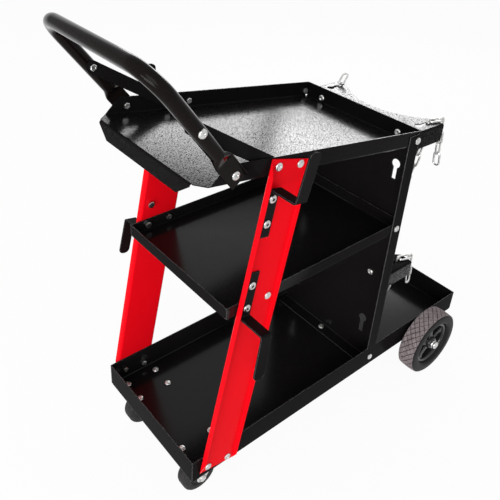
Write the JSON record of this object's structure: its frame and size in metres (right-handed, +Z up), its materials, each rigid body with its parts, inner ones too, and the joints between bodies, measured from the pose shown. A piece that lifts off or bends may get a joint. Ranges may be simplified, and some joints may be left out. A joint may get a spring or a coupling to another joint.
{
  "type": "welding cart",
  "caption": "Welding cart with three trays, a tilted top, leaning red legs, cable hooks, a push handle, a cylinder platform with chains, rear wheels and swivel casters.",
  "frame": {"origin": "on the floor under the middle of the cart's outline", "axes": "+X towards the cylinder platform, -X towards the handle, +Z up, Y across"},
  "size_m": [0.8575, 0.4056, 0.8716],
  "materials": {
    "black_paint": "black powder coat, fine speckle, half gloss",
    "gloss_black_tube": "gloss black powder coat",
    "red_paint": "bright red gloss powder coat",
    "zinc_steel": "bright zinc plate",
    "tyre_rubber": "grey block tread rubber",
    "hub_plastic": "satin black",
    "caster_rubber": "dark grey rubber"
  },
  "bodies": {
    "frame": {"axle_cap_far": "zinc_steel", "axle_cap_near": "zinc_steel", "back_panel": "black_paint", "bottom_tray": "black_paint", "caster_plate_far": "zinc_steel", "caster_plate_near": "zinc_steel", "handle_brace_bolt_far": "zinc_steel", "handle_brace_bolt_near": "zinc_steel", "handle_brace_far": "black_paint", "handle_brace_near": "black_paint", "handle_tab_bolt_far": "zinc_steel", "handle_tab_bolt_near": "zinc_steel", "handle_tube": "gloss_black_tube", "leg_bottom_front_bolt_far": "zinc_steel", "leg_bottom_front_bolt_near": "zinc_steel", "leg_bottom_rear_bolt_far": "zinc_steel", "leg_bottom_rear_bolt_near": "zinc_steel", "leg_far": "red_paint", "leg_middle_bolt_far": "zinc_steel", "leg_middle_bolt_near": "zinc_steel", "leg_near": "red_paint", "leg_top_front_bolt_far": "zinc_steel", "leg_top_front_bolt_near": "zinc_steel", "leg_top_rear_bolt_far": "zinc_steel", "leg_top_rear_bolt_near": "zinc_steel", "lower_bracket_bolt_far": "zinc_steel", "lower_bracket_bolt_near": "zinc_steel", "lower_cable_hook_far": "black_paint", "lower_cable_hook_near": "black_paint", "lower_cylinder_bracket": "black_paint", "lower_slot_links_far": "zinc_steel", "lower_slot_links_near": "zinc_steel", "mid_tray": "black_paint", "panel_floor_bolt": "zinc_steel", "panel_foot_bolt_far": "zinc_steel", "panel_foot_bolt_near": "zinc_steel", "panel_middle_bolt_far": "zinc_steel", "panel_middle_bolt_near": "zinc_steel", "panel_top_bolt_far": "zinc_steel", "panel_top_bolt_near": "zinc_steel", "rear_axle": "zinc_steel", "top_tray": "black_paint", "upper_bracket_bolt_far": "zinc_steel", "upper_bracket_bolt_near": "zinc_steel", "upper_cable_hook_far": "black_paint", "upper_cable_hook_near": "black_paint", "upper_cylinder_bracket": "black_paint", "upper_slot_links_far": "zinc_steel", "upper_slot_links_near": "zinc_steel"},
    "rear_wheel_near": {"rear_tyre_near": "tyre_rubber", "rear_hub_near": "hub_plastic"},
    "caster_near": {"caster_fork_near": "zinc_steel"},
    "caster_wheel_near": {"caster_wheel_near": "caster_rubber"},
    "rear_wheel_far": {"rear_tyre_far": "tyre_rubber", "rear_hub_far": "hub_plastic"},
    "caster_far": {"caster_fork_far": "zinc_steel"},
    "caster_wheel_far": {"caster_wheel_far": "caster_rubber"},
    "upper_chain": {"upper_chain": "zinc_steel"},
    "lower_chain": {"lower_chain": "zinc_steel"}
  },
  "joints": [
    {"name": "rear_wheel_near_spin", "type": "hinge", "parent": "frame", "child": "rear_wheel_near", "pos_m": [0.3043, -0.165, 0.077], "axis": [0, 1, 0], "continuous": true},
    {"name": "caster_near_swivel", "type": "hinge", "parent": "frame", "child": "caster_near", "pos_m": [-0.2862, -0.095, 0.077], "axis": [0, 0, 1], "continuous": true},
    {"name": "caster_wheel_near_spin", "type": "hinge", "parent": "caster_near", "child": "caster_wheel_near", "pos_m": [-0.3022, -0.095, 0.0355], "axis": [0, 1, 0], "continuous": true},
    {"name": "rear_wheel_far_spin", "type": "hinge", "parent": "frame", "child": "rear_wheel_far", "pos_m": [0.3043, 0.165, 0.077], "axis": [0, 1, 0], "continuous": true},
    {"name": "caster_far_swivel", "type": "hinge", "parent": "frame", "child": "caster_far", "pos_m": [-0.2862, 0.095, 0.077], "axis": [0, 0, 1], "continuous": true},
    {"name": "caster_wheel_far_spin", "type": "hinge", "parent": "caster_far", "child": "caster_wheel_far", "pos_m": [-0.3022, 0.095, 0.0355], "axis": [0, 1, 0], "continuous": true},
    {"name": "upper_chain_swing", "type": "hinge", "parent": "frame", "child": "upper_chain", "pos_m": [0.20834, 0, 0.61113], "axis": [0, 1, 0], "range_deg": [-35, 8]},
    {"name": "lower_chain_swing", "type": "hinge", "parent": "frame", "child": "lower_chain", "pos_m": [0.2061, 0, 0.29535], "axis": [0, 1, 0], "range_deg": [-30, 10]}
  ]
}
